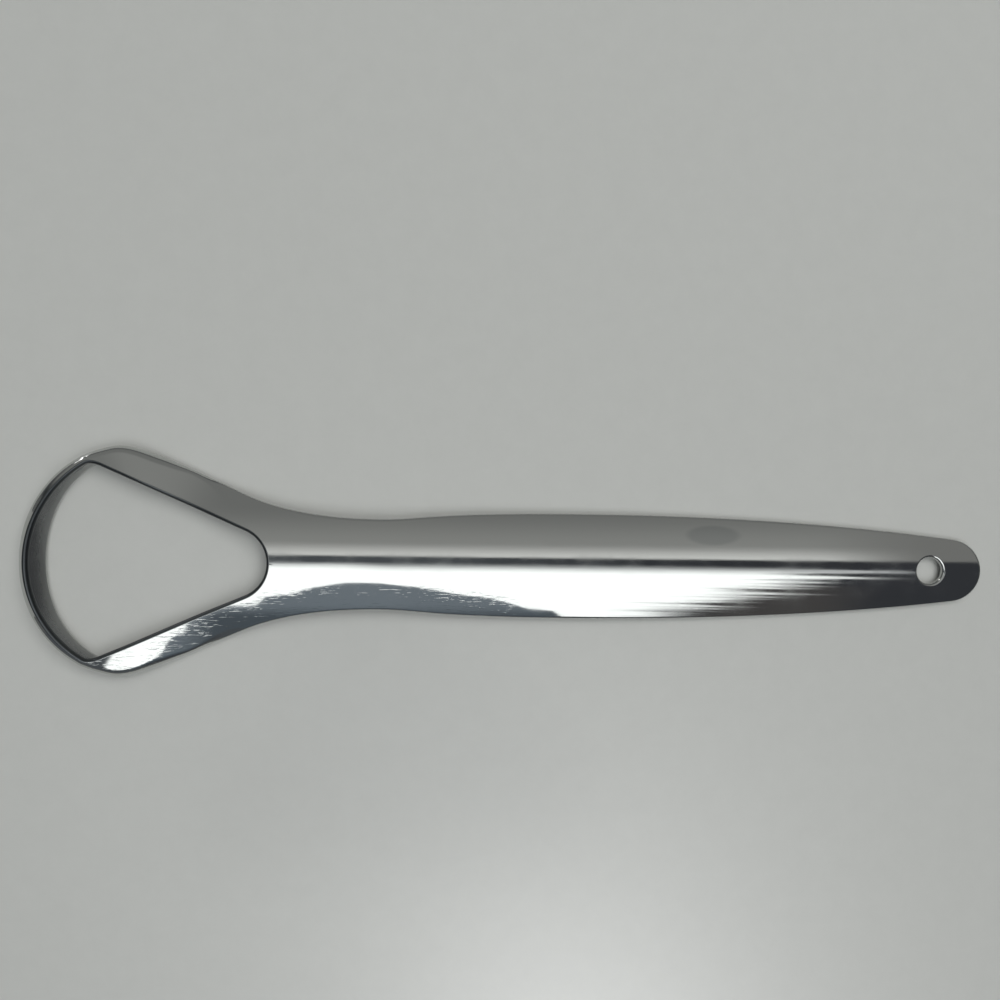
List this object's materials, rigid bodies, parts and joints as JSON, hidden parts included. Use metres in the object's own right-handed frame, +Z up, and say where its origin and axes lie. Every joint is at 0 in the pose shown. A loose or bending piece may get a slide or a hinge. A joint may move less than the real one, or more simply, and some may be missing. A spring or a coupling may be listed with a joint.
{
  "type": "tongue scraper",
  "caption": "Loop-headed tongue scraper pressed from polished stainless steel sheet, with an arched tapering handle and a hanging hole in its tail.",
  "frame": {"origin": "middle of the scraper's box, on the table that it lies on", "axes": "+X from the loop to the tail along the handle, +Y to the right when the loop points away from the hand, +Z up from the table"},
  "size_m": [0.1496, 0.0344, 0.0047],
  "materials": {
    "polished_steel": "mirror-polished stainless steel with fine handling marks"
  },
  "bodies": {
    "root": {"handle": "polished_steel", "left_arm": "polished_steel", "right_arm": "polished_steel", "scraping_band": "polished_steel"}
  },
  "joints": []
}
